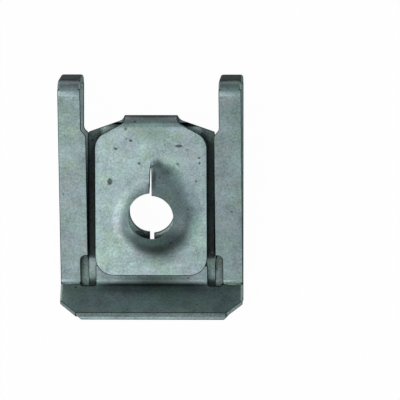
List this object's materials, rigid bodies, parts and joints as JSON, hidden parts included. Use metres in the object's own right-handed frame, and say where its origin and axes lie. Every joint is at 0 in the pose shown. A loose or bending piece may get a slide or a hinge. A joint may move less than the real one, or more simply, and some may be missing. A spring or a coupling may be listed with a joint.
{
  "type": "u clip speed nut",
  "caption": "Folded sheet-steel U clip that slides over a panel edge and holds a tapping screw in a thread pressed out of its sprung tongue.",
  "frame": {"origin": "middle of the clip's length and width, on the outer face of the back leg, which lies on the ground", "axes": "+X across the clip, to the right as seen from the thread side with the folded end up; +Y along the back leg towards the folded end; +Z from the back leg towards the thread"},
  "size_m": [0.016, 0.0216, 0.0065],
  "materials": {
    "zinc_steel": "zinc plated, satin"
  },
  "bodies": {
    "root": {"speed_nut": "zinc_steel"}
  },
  "joints": []
}
